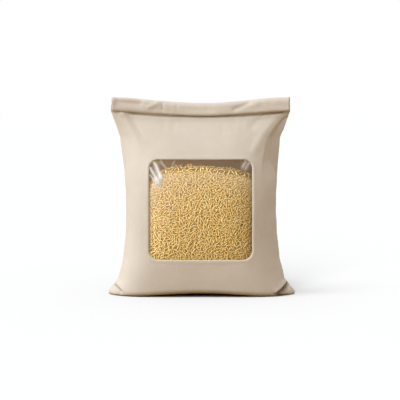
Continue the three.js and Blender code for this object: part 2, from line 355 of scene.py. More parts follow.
def sewBody():
    s, w = sackShape, windowShape
    columns, rows, rings = s["columns"], s["rows"], s["rings"]
    turn, level, across, up = cutFrontPanel()
    count = turn.shape[1]
    front = sackPoint(turn, level, 1)
    steps = np.linalg.norm(np.diff(front, axis=0), axis=2)
    fromEdge = np.concatenate([np.zeros((1, count)), np.cumsum(steps, axis=0)])
    innerDepth = blend(w["edge"], s["cloth"], smooth(fromEdge, w["hem"] - 1, w["hem"] + 1))
    frontInner = sackPoint(turn, level, 1, innerDepth)

    backTurn = np.repeat(across[:, None], rows + 1, axis=1)
    backLevel = blend(-baseReach(across)[:, None], s["topLevel"], (up / s["topLevel"])[None, :])
    back = sackPoint(backTurn, backLevel, -1)
    backInner = sackPoint(backTurn, backLevel, -1, s["cloth"])

    # the back panel shares the front's outer ring along the base and both sides
    ring = rings * count
    backIndex = np.full((columns + 1, rows + 1), -1)
    backIndex[:columns + 1, 0] = ring + np.arange(columns + 1)
    backIndex[columns, :] = ring + columns + np.arange(rows + 1)
    backIndex[0, 1:] = ring + 2 * columns + 2 * rows - np.arange(1, rows + 1)
    fresh = backIndex < 0
    backIndex[fresh] = front.shape[0] * count + np.arange(fresh.sum())
    outer = np.concatenate([front.reshape(-1, 3), back[fresh]])
    inner = np.concatenate([frontInner.reshape(-1, 3), backInner[fresh]])

    faces = [(a, d, c, b) for a, b, c, d in tubeFaces(rings + 1, count)]
    for i in range(columns):
        for j in range(rows):
            faces.append((backIndex[i, j], backIndex[i, j + 1],
                          backIndex[i + 1, j + 1], backIndex[i + 1, j]))
    for i in range(columns):
        left = ring + 2 * columns + rows - i
        strip = [left, left - 1, backIndex[i + 1, rows], backIndex[i, rows]]
        faces.append(tuple(dict.fromkeys(strip)))

    # the cloth is pushed out and in along its own normals, the same on both of its faces
    plain = newPiece("plain", outer, faces)
    normals = np.empty(len(outer) * 3)
    plain.data.vertices.foreach_get("normal", normals)
    normals = normals.reshape(-1, 3)
    bpy.data.objects.remove(plain)
    d = clothRules
    up = outer[:, 2]
    isFront = np.zeros(len(outer))
    isFront[:front.shape[0] * count] = 1
    isFront *= 1 - smooth(-normals[:, 1], 0.25, -0.1)
    foldTop = 1 - smooth(up, *d["foldsEnd"])
    sides = np.concatenate([np.abs(turn).ravel(), np.abs(backTurn[fresh])])
    fromSeam = (math.pi / 2 - sides) / (math.pi / 2) * d["halfRound"]
    folds = foldsAt(outer[:, 0], up, sackFolds)
    deep = np.minimum(folds, 0) * smooth(fromSeam, 0, d["seamClear"] * smooth(up, 30, 120) + 1)
    deep = np.maximum(deep, -d["deepest"] * np.abs(outer[:, 1]))  # never through to the back
    push = (np.maximum(folds, 0) + deep) * isFront * foldTop
    calm = smooth(up, 0, d["calmTop"])
    push += d["coarse"] * driftAt(outer, d["coarseSize"], 3.1) * calm
    push += d["fine"] * driftAt(outer, d["fineSize"], 8.7) * calm
    seam = calm * foldTop
    push -= d["seamPinch"] * np.exp(-(fromSeam / d["seamWidth"]) ** 2) * seam
    ripple = np.sin(up * 2 * math.pi / d["puckerPitch"] + 2 * driftAt(outer, 30, 5.5))
    push += d["pucker"] * ripple * np.exp(-fromSeam / d["puckerReach"]) * seam
    edge = np.concatenate([fromEdge.ravel(), np.full(fresh.sum(), 1e3)])
    push += w["swell"] * np.exp(-((edge - w["hem"] * 0.6) / (w["hem"] * 0.5)) ** 2)
    # painted shade: the folds' shadows darken the cloth's colour in its creases, under the band and at the
    # base's corners
    paintedCreaseShade = np.clip(foldsAt(outer[:, 0], up, sackFolds, shadows=True) * isFront, 0, 0.95)
    lip = w["lip"] - np.sqrt(np.maximum(w["lip"] ** 2 - np.maximum(w["lip"] - edge, 0) ** 2, 0))
    # in the corners of the base the inside stays well behind the folds
    cornered = smooth(np.abs(outer[:, 0]), *d["cornerFrom"]) * (1 - smooth(up, *d["cornerTop"]))
    innerPush = push * (1 - cornered) - np.minimum(d["cornerIn"], 0.5 * np.abs(outer[:, 1])) * cornered
    outer = outer + normals * (push - lip)[:, None]
    inner = inner + normals * innerPush[:, None]
    outer[:, 2] = np.maximum(outer[:, 2], 0)
    inner[:, 2] = np.maximum(inner[:, 2], s["cloth"] * 0.5)

    size = len(outer)
    insideFaces = range(len(faces), 2 * len(faces))
    turned = [tuple(size + i for i in reversed(face)) for face in faces]
    rim = [(n, (n + 1) % count, size + (n + 1) % count, size + n) for n in range(count)]
    width = np.concatenate([turn.ravel(), backTurn[fresh]]) / (math.pi / 2) * d["halfRound"]
    height = np.concatenate([level.ravel(), backLevel[fresh]])
    spots = np.column_stack([width, height])
    points = np.concatenate([outer, inner])
    return points, faces + turned + rim, np.tile(spots, (2, 1)), insideFaces, np.tile(paintedCreaseShade, 2)


# The mouth: both panels folded over to the front and down, so the roll's end shows its layers.
bandShape = {
    "width": 266, "shift": -0.4, "top": 296, "sheet": 2.5, "stations": 130, "steps": 44,
    "path": [(3.2, -20), (4.0, -16), (4.2, -11), (3.6, -5.4), (0.6, -1.9), (-2.6, -1.35), (-5.6, -3.0),
             (-7.2, -7.0), (-7.6, -14), (-7.8, -18.6), (-6.9, -20.3), (-5.4, -20.3), (-4.4, -18.4),
             (-3.8, -14), (-3.4, -9.0)],
    "front": (0.34, 0.71), "face": 20, "drop": 22, "sagFoot": 6.6, "endStep": 1.2, "endReach": 12,
    "twist": [(-133, -1.6), (-95, -0.8), (-40, 0.9), (0, 1.2), (50, 1.2), (95, 0.9), (133, 0)],
    "drift": 0.75, "driftSize": 34, "ripple": 0.3, "rippleSize": 13,
}
# Dents in the band's front, as places across it and down its face from 0 to 1.
bandDents = [
    ridge(-2.2, 4.5, (0.1, 0.85), (-130, 10), (-108, 11), (-84, 10)),
    ridge(1.4, 3.2, (0.1, 0.9), (-82, 18), (-72, 12), (-62, 7)),
    ridge(-1.5, 1.4, (0.2, 0.9), (-57, 5), (-57.4, 12), (-57, 19)),
    ridge(-1.0, 1.6, (0.3, 0.8), (-36, 6), (-36, 18)),
    ridge(0.4, 3, (0.2, 0.8), (-44, 17), (-32, 14)),
    ridge(-0.6, 4.5, (0.3, 0.7), (4, 12), (22, 15)),
    ridge(-1.6, 3.2, (0.1, 0.9), (76, 6), (62, 12), (46, 17)),
    ridge(0.6, 4, (0.2, 0.8), (88, 6), (80, 14)),
    ridge(-0.6, 4.5, (0.3, 0.7), (98, 10), (112, 9)),
]


def smoothPath(points, count):
    # a Catmull-Rom curve through the points, evenly sampled
    p = np.array(points, float)
    p = np.concatenate([2 * p[:1] - p[1:2], p, 2 * p[-1:] - p[-2:-1]])
    t = np.linspace(0, 1, 13)[:-1, None]
    curve = []
    for a, b, c, d in zip(p[:-3], p[1:-2], p[2:-1], p[3:]):
        bend = (2 * a - 5 * b + 4 * c - d) * t ** 2
        twist = (3 * b - a - 3 * c + d) * t ** 3
        curve.append(0.5 * (2 * b + (c - a) * t + bend + twist))
    curve = np.concatenate(curve + [p[-2:-1]])
    along = wayAlong(curve)
    spots = np.linspace(0, along[-1], count)
    return np.column_stack([np.interp(spots, along, curve[:, side]) for side in (0, 1)]), along[-1]


def foldTheTop():
    b = bandShape
    middle, length = smoothPath(b["path"], b["steps"])
    way = np.gradient(middle, axis=0)
    way /= np.linalg.norm(way, axis=1)[:, None]
    across = np.column_stack([-way[:, 1], way[:, 0]])
    share = np.linspace(0, 1, b["steps"])
    half = b["sheet"] / 2 * (1 - 0.35 * smooth(share, 0.93, 1))
    # anticlockwise as seen from the right: up the outside of the roll and back along its inside
    section = np.concatenate([middle - across * half[:, None], (middle + across * half[:, None])[::-1]])
    sharesRound = np.concatenate([share, share[::-1]])
    count = len(section)
    rings = []
    for x in np.linspace(-b["width"] / 2, b["width"] / 2, b["stations"] + 1):
        low = np.clip(-section[:, 1] / b["drop"], 0, 1)
        z = b["top"] + section[:, 1] - blend(sagAt(x, sackShape["sag"]), sagAt(x, b["sagFoot"]), low)
        late = b["endStep"] * smooth(x, b["width"] / 2 - b["endReach"], b["width"] / 2)
        shift = late * (1 - smooth(sharesRound, 0.3, 0.42))
        lean = np.interp(x, *np.transpose(b["twist"])) * (section[:, 1] + b["drop"] / 2) / (b["drop"] / 2)
        sideways = np.full(count, x) + shift - late * 0.6 + b["shift"]
        rings.append(np.column_stack([sideways, section[:, 0] + lean, z]))
    rings = np.array(rings)
    start, end = b["front"]
    down = (sharesRound - start) / (end - start) * b["face"]
    x = rings[..., 0]
    isFront = smooth(sharesRound, start - 0.14, start) * (1 - smooth(sharesRound, end, 0.8))
    dents = foldsAt(x, np.broadcast_to(down, x.shape), bandDents) * isFront
    around = np.broadcast_to(sharesRound * length * 1.6, x.shape)
    spread = np.stack([x * 0.7, around, np.zeros(x.shape)], -1).reshape(-1, 3)
    drift = b["drift"] * driftAt(spread, b["driftSize"], 1.7)
    drift += b["ripple"] * driftAt(spread, b["rippleSize"], 4.2)
    amount = dents + drift.reshape(x.shape) * smooth(sharesRound, 0.02, 0.12)
    # both faces of the sheet move the same way, so that it keeps its thickness
    sheetWay = np.concatenate([-across, -across[::-1]])
    rings[..., 1] += sheetWay[:, 0] * amount
    rings[..., 2] += sheetWay[:, 1] * amount
    faces = tubeFaces(len(rings), count)
    last = (len(rings) - 1) * count
    for j in range(b["steps"] - 1):
        other = count - 1 - j
        faces.append((j, other, other - 1, j + 1))
        faces.append((last + j, last + j + 1, last + other - 1, last + other))
    spots = np.stack([x, np.broadcast_to(sackShape["topLevel"] + sharesRound * length, x.shape)], -1)
    return rings.reshape(-1, 3), faces, spots.reshape(-1, 2)


def makeSack(material, insideMaterial):
    body, bodyFaces, bodySpots, insideFaces, paintedCreaseShade = sewBody()
    band, bandFaces, bandSpots = foldTheTop()
    shifted = [tuple(len(body) + i for i in face) for face in bandFaces]
    piece = newPiece("rice_sack", np.concatenate([body, band]), bodyFaces + shifted)
    giveThreads(piece, np.concatenate([bodySpots, bandSpots]))
    giveValues(piece, "creaseShadeAndGlint", np.concatenate([paintedCreaseShade, np.zeros(len(band))]))
    piece.data.materials.append(material)
    piece.data.materials.append(insideMaterial)
    for face in insideFaces:
        piece.data.polygons[face].material_index = 1
    return piece


# The rice: a heap that leans on the film, highest a little left of the middle and lower at the left.
riceHeap = {
    "top": 189.6, "peak": -10, "fall": 11, "hollowStart": -45, "hollowFall": 16, "dome": -8,
    "depth": 7.9, "low": 45, "relief": 0.5, "columns": 84, "rows": 52, "domeRings": 12, "brow": 5,
    # where grains are laid: across, up and back, and how much a face looks to the front or up
    "showX": 79, "showLow": 47, "showBack": 10, "showTopLow": 120, "frontFacing": 0.45, "topFacing": 0.5,
}


def heapLevel(x):
    r = riceHeap
    half = windowShape["width"] / 2
    toEdge = (x - r["peak"]) / (half - r["peak"])
    inHollow = np.clip((r["hollowStart"] - x) / (half + r["hollowStart"]), 0, 1)
    return r["top"] - r["fall"] * toEdge ** 2 - r["hollowFall"] * inHollow ** 2


def makeHeap(material):
    r = riceHeap
    side = np.linspace(-math.pi / 2, math.pi / 2, r["columns"] // 2, endpoint=False)
    turns = np.concatenate([side, -side])
    sides = np.repeat([1, -1], len(side))
    levels = np.concatenate([[r["depth"], 10, 15], np.linspace(24, r["top"] - r["brow"], r["rows"])])
    rings = []
    for level in levels:
        x = sackPoint(turns, np.full(turns.shape, level), sides, r["depth"])[:, 0]
        z = level * blend(1, heapLevel(x) / r["top"], smooth(level, r["low"], r["top"]))
        point = sackPoint(turns, z, sides, r["depth"])
        point[:, 2] = np.maximum(z, r["depth"])
        rings.append(point)
    rim = rings[-1]
    for angle in np.radians(np.arange(15, 91, 15)):
        inwards = 1 - r["brow"] * (1 - math.cos(angle)) / np.abs(rim[:, 1]).max()
        rings.append(np.column_stack([rim[:, :2] * inwards, rim[:, 2] + r["brow"] * math.sin(angle)]))
    brow = rings[-1][:, 2]
    for step in range(1, r["domeRings"]):
        share = 1 - step / r["domeRings"]
        z = blend(r["top"], brow, share) + r["dome"] * (1 - share * share)
        rings.append(np.column_stack([rim[:, :2] * inwards * share, z]))
    rings = np.array(rings)
    count = rings.shape[1]
    points = rings.reshape(-1, 3)
    points = points - rough(points, r["relief"])
    low = rings[0].mean(0)
    high = rings[-1].mean(0)
    faces = tubeFaces(len(rings), count)
    last = (len(rings) - 1) * count
    total = len(points)
    for j in range(count):
        k = (j + 1) % count
        faces.append((k, j, total))
        faces.append((last + j, last + k, total + 1))
    piece = newPiece("rice_core", np.concatenate([points, [low], [high]]), faces)
    piece.data.materials.append(material)
    shows = piece.data.attributes.new("shows", "FLOAT", "FACE")
    values = []
    for face in piece.data.polygons:
        x, y, z = face.center / mm
        inFront = face.normal.y < -r["frontFacing"] and z > r["showLow"]
        onTop = face.normal.z > r["topFacing"] and y < r["showBack"] and z > r["showTopLow"]
        values.append(1.0 if abs(x) < r["showX"] and (inFront or onTop) else 0.0)
    shows.data.foreach_set("value", values)
    return piece


def rough(points, size):
    # small dents, inwards only and level
    shift = [driftAt(points, 3.1, 11.3), driftAt(points, 3.1, 27.9), np.zeros(len(points))]
    return np.abs(np.stack(shift, -1)) * np.sign(points) * size


# Grains lie flat against the film and point every way, in layers that stand this far off the core.
# each layer's shade picks its colours, darker deeper down: painted shade between the grains
grainKinds = [
    {"name": "rice_grains_top", "length": 8.0, "width": 1.45, "bend": 0.0, "blunt": 0.0, "spacing": 3.4,
     "low": 4.4, "high": 4.9, "tilt": 3, "seed": 11, "shade": "top"},
    {"name": "rice_grains_curved", "length": 7.6, "width": 1.42, "bend": 0.1, "blunt": 0.0, "spacing": 2.9,
     "low": 2.9, "high": 3.7, "tilt": 6, "seed": 23, "shade": "mid"},
    {"name": "rice_grains_long", "length": 8.6, "width": 1.45, "bend": 0.1, "blunt": 0.0, "spacing": 2.3,
     "low": 0.6, "high": 2.2, "tilt": 10, "seed": 51, "shade": "deep"},
    {"name": "rice_grains_short", "length": 6.2, "width": 1.35, "bend": 0.1, "blunt": 0.25, "spacing": 4.4,
     "low": 3.8, "high": 4.7, "tilt": 6, "seed": 37, "shade": "top"},
]
grainShape = {"sides": 5, "rings": 4, "fullness": 2.4, "flatness": 0.86, "sizes": (0.86, 1.1)}


def grainMesh(kind, material):
    g = grainShape
    points = [(-0.5 * kind["length"], 0, 0)]
    for ring in range(1, g["rings"] + 1):
        share = ring / (g["rings"] + 1)
        along = -math.cos(math.pi * share)
        radius = kind["width"] / 2 * (1 - abs(along) ** g["fullness"]) ** 0.5
        if along > 0:
            radius *= 1 + kind["blunt"] * along
        side = kind["bend"] * (1 - along * along) - kind["bend"] / 2
        for corner in range(g["sides"]):
            angle = 2 * math.pi * (corner + 0.5 * ring) / g["sides"]
            points.append((along * kind["length"] / 2, side + radius * math.cos(angle),
                           radius * g["flatness"] * math.sin(angle)))
    points.append((0.5 * kind["length"], 0, 0))
    n = g["sides"]
    faces = [(0, 1 + (c + 1) % n, 1 + c) for c in range(n)]
    for ring in range(g["rings"] - 1):
        a, b = 1 + ring * n, 1 + (ring + 1) * n
        for c in range(n):
            d = (c + 1) % n
            faces += [(a + c, a + d, b + c), (a + d, b + d, b + c)]
    tail = 1 + (g["rings"] - 1) * n
    faces += [(len(points) - 1, tail + c, tail + (c + 1) % n) for c in range(n)]
    piece = newPiece(kind["name"] + "_one", points, faces)
    piece.data.materials.append(material)
    return piece


def adderFor(tree, prefix=""):
    # a function that adds a node to this tree: an input takes a value or another node's output
    def add(kind, inputs=None, **settings):
        node = tree.nodes.new(prefix + kind)
        for key, value in settings.items():
            setattr(node, key, value)
        for place, value in (inputs or {}).items():
            if isinstance(value, bpy.types.Node):
                value = value.outputs[0]
            if isinstance(value, bpy.types.NodeSocket):
                tree.links.new(value, node.inputs[place])
            else:
                node.inputs[place].default_value = value
        return node

    return add


def scatterTree():
    tree = bpy.data.node_groups.new("scatterGrains", "GeometryNodeTree")
    face = tree.interface
    face.new_socket("Surface", in_out="INPUT", socket_type="NodeSocketGeometry")
    kinds = {"Grain": "Object", "Spacing": "Float", "Low": "Float", "High": "Float",
             "Tilt": "Float", "Seed": "Int", "Finish": "Material"}
    sockets = {}
    for name, kind in kinds.items():
        socket = face.new_socket(name, in_out="INPUT", socket_type="NodeSocket" + kind)
        sockets[name] = socket.identifier
    face.new_socket("Grains", in_out="OUTPUT", socket_type="NodeSocketGeometry")

    add = adderFor(tree)
    given = add("NodeGroupInput").outputs
    shows = add("GeometryNodeInputNamedAttribute", {"Name": "shows"}, data_type="FLOAT")
    spread = add("GeometryNodeDistributePointsOnFaces",
                 {"Mesh": given["Surface"], "Distance Min": given["Spacing"], "Density Max": 1e6,
                  "Density Factor": shows.outputs["Attribute"], "Seed": given["Seed"]},
                 distribute_method="POISSON")
    layer = add("FunctionNodeRandomValue", {2: given["Low"], 3: given["High"], "Seed": given["Seed"]},
                data_type="FLOAT")
    offset = add("ShaderNodeVectorMath", {0: spread.outputs["Normal"], "Scale": layer.outputs[1]},
                 operation="SCALE")
    place = add("GeometryNodeSetPosition", {"Geometry": spread, "Offset": offset})

    negative = add("ShaderNodeMath", {0: given["Tilt"], 1: -1}, operation="MULTIPLY")
    least = add("ShaderNodeCombineXYZ", {"Y": negative})
    most = add("ShaderNodeCombineXYZ", {"X": 2 * math.pi, "Y": given["Tilt"], "Z": 2 * math.pi})
    spin = add("FunctionNodeRandomValue", {0: least, 1: most, "Seed": given["Seed"]},
               data_type="FLOAT_VECTOR")
    euler = add("FunctionNodeEulerToRotation", {0: spin})
    lay = add("FunctionNodeRotateRotation", {"Rotation": spread.outputs["Rotation"], "Rotate By": euler},
              rotation_space="LOCAL")

    one = add("GeometryNodeObjectInfo", {"Object": given["Grain"], "As Instance": True},
              transform_space="ORIGINAL")
    smallest, largest = grainShape["sizes"]
    size = add("FunctionNodeRandomValue", {2: smallest, 3: largest}, data_type="FLOAT")
    put = add("GeometryNodeInstanceOnPoints",
              {"Points": place, "Instance": one.outputs["Geometry"], "Rotation": lay,
               "Scale": size.outputs[1]})
    tone = add("FunctionNodeRandomValue", {"Seed": 5}, data_type="FLOAT")
    mark = add("GeometryNodeStoreNamedAttribute",
               {"Geometry": put, "Name": "tone", "Value": tone.outputs[1]},
               data_type="FLOAT", domain="INSTANCE")
    real = add("GeometryNodeRealizeInstances", {0: mark})
    dress = add("GeometryNodeSetMaterial", {"Geometry": real, "Material": given["Finish"]})
    add("NodeGroupOutput", {0: dress})
    return tree, sockets


def scatterGrains(heap, kinds, materials):
    tree, sockets = scatterTree()
    pieces = []
    for kind in kinds:
        material = materials[kind["shade"]]
        one = grainMesh(kind, material)
        piece = bpy.data.objects.new(kind["name"], heap.data.copy())
        bpy.context.scene.collection.objects.link(piece)
        scatter = piece.modifiers.new("grains", "NODES")
        scatter.node_group = tree
        values = {"Grain": one, "Spacing": kind["spacing"] * mm, "Low": kind["low"] * mm,
                  "High": kind["high"] * mm, "Tilt": math.radians(kind["tilt"]), "Seed": kind["seed"],
                  "Finish": material}
        for name, value in values.items():
            scatter[sockets[name]] = value
        graph = bpy.context.evaluated_depsgraph_get()
        mesh = bpy.data.meshes.new_from_object(piece.evaluated_get(graph), depsgraph=graph)
        piece.modifiers.clear()
        piece.data = mesh
        mesh.shade_smooth()
        bpy.data.objects.remove(one)
        print("  ", kind["name"], len(mesh.polygons), "faces")
        pieces.append(piece)
    return pieces


# The clear film lies behind the window, tight over the rice and slack above it.
# the haze settings place a painted sheen on the film; the brow shade is painted shade under the rice's
# upper edge
filmShape = {"lap": 7.5, "depth": 2.1, "thickness": 0.12, "pitch": 1.25, "slack": 2.2, "hazeAndSheenReach": 34,
             "hazeAndSheenTop": 0.87, "hazeAndSheenDrop": 18, "browShade": 0.17}
filmCreases = [
    ridge(1.8, 2.0, (0.05, 0.75), (-75, 205), (-71.5, 200), (-67.5, 194.5), (-63, 184), (-59.5, 176),
          (-58, 170)),
    ridge(0.25, 4.5, (0.3, 0.6), (-70, 190), (-65, 180), (-60, 171)),
    ridge(1.7, 1.7, (0.05, 0.7), (-78, 193), (-75, 188.5), (-70, 180), (-64, 171.5), (-58.5, 164)),
    ridge(1.2, 1.1, (0.05, 0.75), (-78, 182), (-74, 177.5), (-68, 171), (-62, 164.5)),
    ridge(0.5, 0.9, (0.2, 0.7), (-73, 196), (-69, 188), (-65, 180)),
    ridge(0.35, 2, (0.2, 0.6), (-78, 170), (-68, 164), (-56, 158)),
    ridge(0.75, 1.1, (0.1, 0.6), (-62, 204), (-57, 196), (-49, 187)),
    ridge(0.4, 0.9, (0.2, 0.7), (-70, 204), (-64, 200), (-58, 196)),
    ridge(0.5, 1.1, (0.2, 0.7), (-45, 194), (-41, 199), (-38, 205)),
    ridge(0.6, 1.6, (0.2, 0.6), (70, 206), (66, 198), (60, 188)),
    ridge(0.5, 1.6, (0.2, 0.6), (75, 203), (70, 194), (65, 184)),
    ridge(0.35, 5, (0.2, 0.6), (72, 204), (66, 194), (62, 184)),
]


def layTheFilm(material):
    f, w = filmShape, windowShape
    half = w["width"] / 2 + f["lap"]
    top = w["low"] + w["height"]
    low, high = w["low"] - f["lap"], top + f["lap"]
    xs = np.linspace(-half, half, int(2 * half / f["pitch"]) + 1)
    zs = np.linspace(low, high, int((high - low) / f["pitch"]) + 1)
    x, z = np.meshgrid(xs, zs)
    turn, level = faceSpot(x, z)
    outer = sackPoint(turn, level, 1, f["depth"])
    # between the rice and the window's upper edge the film hangs in
    above = smooth(z - heapLevel(x), -6, 4) * (1 - smooth(z, top - 6, top + 2))
    inside = 1 - smooth(np.abs(x), w["width"] / 2 - 8, w["width"] / 2 + 1)
    push = foldsAt(x, z, filmCreases) * (0.35 + 0.65 * inside) - f["slack"] * above * inside
    flat = outer.reshape(-1, 3)
    push += 0.12 * driftAt(flat, 14, 2.2).reshape(x.shape) * inside
    outer[..., 1] -= push
    inner = outer + np.array([0, f["thickness"], 0])
    rows, columns = x.shape
    size = rows * columns
    faces = []
    for i in range(rows - 1):
        for j in range(columns - 1):
            a = i * columns + j
            b = a + columns
            faces.append((a, a + 1, b + 1, b))
            faces.append((size + a, size + b, size + b + 1, size + a + 1))
    grid = np.arange(size).reshape(x.shape)
    border = np.concatenate([grid[0, :-1], grid[:-1, -1], grid[-1, :0:-1], grid[:0:-1, 0]])
    faces += [(b, a, size + a, size + b) for a, b in zip(border, np.roll(border, -1))]
    piece = newPiece("clear_film", np.concatenate([flat, inner.reshape(-1, 3)]), faces)
    # painted light on the film: a pale haze, partly painted sheen, from the left and under the rice's upper
    # edge; and painted shade along the hem, towards the right and under the rice's upper edge
    fromLeft, fromRight = w["width"] / 2 + x - w["shift"], w["width"] / 2 - x + w["shift"]
    fromFoot = z - w["low"]
    # painted shade on the film: dark along the hem, falling off towards the right, and under the rice's
    # upper edge
    hems = [(fromLeft, 0.5, 1.2), (fromRight, 0.2, 3), (fromRight, 0.07, 45), (fromFoot, 0.08, 12)]
    shade = sum(depth * fading(distance, reach) for distance, depth, reach in hems)
    # a pale haze on the film, strongest at the left, the lit side, and under the rice's upper edge: part
    # haze, part painted sheen
    hazeAndSheen = fading(fromLeft, f["hazeAndSheenReach"]) * smooth(fromFoot, -40, 150)
    overRice = z - heapLevel(x)
    shade += f["browShade"] * smooth(overRice, -7, 0)
    hazeAndSheen += f["hazeAndSheenTop"] * np.exp(np.minimum(overRice, 0) / f["hazeAndSheenDrop"])
    hazeAndSheen *= 1 - 0.85 * smooth(overRice, -11, 1)
    # the film's creases go white: partly the film's own whitening, partly a painted glint where its folds
    # catch the light
    height = np.clip(foldsAt(x, z, filmCreases), 0, None)
    for name, values in [("creaseShadeAndGlint", height), ("shade", np.clip(shade, 0, 1)), ("hazeAndSheen", hazeAndSheen)]:
        giveValues(piece, name, np.concatenate([values.ravel(), values.ravel()]))
    piece.data.materials.append(material)
    return piece


# the dark colour at the folds is painted shade, for the shadows in the cloth's creases
clothLook = {
    "light": (0.825, 0.732, 0.618), "dark": (0.745, 0.65, 0.537), "thread": 0.5, "slub": 14, "bump": 0.12,
    "roughness": (0.82, 0.94), "sheen": 0.12, "between": 0.86, "creaseShadeAndGlintColour": (0.16, 0.11, 0.05),
    "slubTone": 0.3, "slubLift": 0.5, "mottle": 16,
}
liningLook = {"colour": (0.60, 0.48, 0.36), "throughLight": (0.10, 0.08, 0.063)}
# the middle and deep layers take darker copies of the grains' golden colour: painted shade between the
# grains
riceLook = {
    "top": {"pale": (0.85, 0.69, 0.35), "mid": (0.85, 0.625, 0.255), "dark": (0.79, 0.53, 0.15)},
    "mid": {"pale": (0.825, 0.587, 0.20), "mid": (0.765, 0.50, 0.13), "dark": (0.68, 0.412, 0.085)},
    "deep": {"pale": (0.714, 0.442, 0.094), "mid": (0.646, 0.378, 0.06), "dark": (0.544, 0.298, 0.034)},
    "roughness": 0.45, "throughLight": (0.068, 0.052, 0.022),
}
# the core is darker than the grains: painted shade in the gaps between them, over the rice's own golden
# colour
coreLook = {"light": (0.493, 0.285, 0.043), "dark": (0.34, 0.18, 0.017),
            "throughLight": (0.068, 0.052, 0.022)}
# the film's crease colour and whitening are partly its own whitening, partly a painted glint on its folds;
# its haze is partly a painted sheen, and its shade colour is painted shade
filmLook = {"roughness": 0.08, "edgeShine": 0.6, "whiteningAndGlint": 0.5, "hazeAndSheen": 0.30, "haze": (0.95, 0.83, 0.60),
            "creaseShadeAndGlintColour": (0.95, 0.95, 0.95), "shade": (0.14, 0.10, 0.05)}


def newMaterial(name):
    material = bpy.data.materials.new(name)
    material.use_nodes = True
    material.node_tree.nodes.clear()
    return material, adderFor(material.node_tree, "ShaderNode")


def marked(add, name):
    # values that a piece carries at its points
    return add("Attribute", attribute_name=name).outputs["Fac"]


def colourRamp(add, share, start, end, *between):
    # shades from one colour to another, each stop with its place
    ramp = add("ValToRGB", {0: share})
    stops = ramp.color_ramp.elements
    stops[0].position, stops[0].color = start[0], (*start[1], 1)
    stops[1].position, stops[1].color = end[0], (*end[1], 1)
    for place, colour in between:
        stops.new(place).color = (*colour, 1)
    return ramp


def glowing(colour):
    # the light that comes through a piece, painted as a faint glow
    return {"Emission Color": (*colour, 1), "Emission Strength": 1}


def bumpyShader(add, colour, height, strength, bumps, looks):
    # bumps are in millimetres
    bump = add("Bump", {"Height": height, "Strength": strength, "Distance": bumps * mm})
    shader = add("BsdfPrincipled", {"Base Color": colour, "Normal": bump, **looks})
    add("OutputMaterial", {"Surface": shader})


def wovenCotton():
    c = clothLook
    material, add = newMaterial("wovenCotton")
    spots = add("UVMap", uv_map="threads")
    # threads wander a little
    drift = add("TexNoise", {"Vector": spots, "Scale": 1 / (8 * mm), "Detail": 1})
    wander = add("VectorMath", {0: drift.outputs["Color"], 1: (c["thread"] * 1.5 * mm,) * 3, 2: spots},
                 operation="MULTIPLY_ADD")
    turns = 2 * math.pi / (20 * c["thread"] * mm)
    warp = add("TexWave", {"Vector": wander, "Scale": turns}, bands_direction="X")
    weft = add("TexWave", {"Vector": wander, "Scale": turns}, bands_direction="Y")
    checks = add("TexChecker", {"Vector": wander, "Scale": 1 / (c["thread"] * mm)})
    weave = add("Mix", {0: checks.outputs["Fac"], 2: warp.outputs["Fac"], 3: weft.outputs["Fac"]},
                data_type="FLOAT")

    # thicker threads here and there, along the cloth and across it
    fine, far = 1 / (c["thread"] * 1.4 * mm), 1 / (c["slub"] * mm)
    slubs = []
    for stretch in [(fine, far, 1), (far, fine, 1)]:
        along = add("Mapping", {"Vector": spots, "Scale": stretch})
        slubs.append(add("TexNoise", {"Vector": along, "Scale": 1, "Detail": 2, "Roughness": 0.6}))
    slub = add("Math", {0: slubs[0], 1: slubs[1]}, operation="ADD")

    room = add("TexCoord").outputs["Object"]
    mottle = add("TexNoise", {"Vector": room, "Scale": c["mottle"], "Detail": 5, "Roughness": 0.6})
    tone = add("Math", {0: slub, 1: c["slubTone"], 2: mottle}, operation="MULTIPLY_ADD")
    shade = colourRamp(add, tone, (0.6, c["dark"]), (1, c["light"]))
    gaps = add("MapRange", {0: weave, "From Max": 0.5, "To Min": c["between"]})
    # painted shade: the cloth's colour goes dark where the folds' shadows fall
    folded = add("Mix", {0: marked(add, "creaseShadeAndGlint"), 6: shade, 7: (*c["creaseShadeAndGlintColour"], 1)},
                 data_type="RGBA", blend_type="MULTIPLY")
    thread = add("VectorMath", {0: folded.outputs[2], "Scale": gaps}, operation="SCALE")
    lift = add("Math", {0: slub, 1: c["slubLift"], 2: weave}, operation="MULTIPLY_ADD")
    low, high = c["roughness"]
    rough = add("MapRange", {0: mottle, "To Min": low, "To Max": high})
    looks = {"Roughness": rough, "Sheen Weight": c["sheen"], "Sheen Roughness": 0.5,
             "Specular IOR Level": 0.25}
    bumpyShader(add, thread, lift, 0.6, c["bump"], looks)
    return material


def clothInside():
    # the inside of the cloth, with the little light that comes through it painted as a faint glow
    c = liningLook
    material, add = newMaterial("clothInside")
    spots = add("UVMap", uv_map="threads")
    cloud = add("TexNoise", {"Vector": spots, "Scale": 1 / (6 * mm), "Detail": 4})
    shade = colourRamp(add, cloud, (0, [v * 0.85 for v in c["colour"]]), (1, c["colour"]))
    looks = {"Roughness": 0.9, "Specular IOR Level": 0.2, **glowing(c["throughLight"])}
    bumpyShader(add, shade, cloud, 0.5, 0.15, looks)
    return material


def riceGrain(depth):
    # deeper layers get darker copies of this material: painted shade
    r = {**riceLook, **riceLook[depth]}
    material, add = newMaterial("riceGrain" + depth.title())
    shade = colourRamp(add, marked(add, "tone"), (0, r["dark"]), (1, r["pale"]), (0.35, r["mid"]))
    room = add("TexCoord").outputs["Object"]
    cloud = add("TexNoise", {"Vector": room, "Scale": 900, "Detail": 2})
    looks = {"Roughness": r["roughness"], "Specular IOR Level": 0.3, **glowing(r["throughLight"])}
    bumpyShader(add, shade, cloud, 0.25, 0.05, looks)
    return material


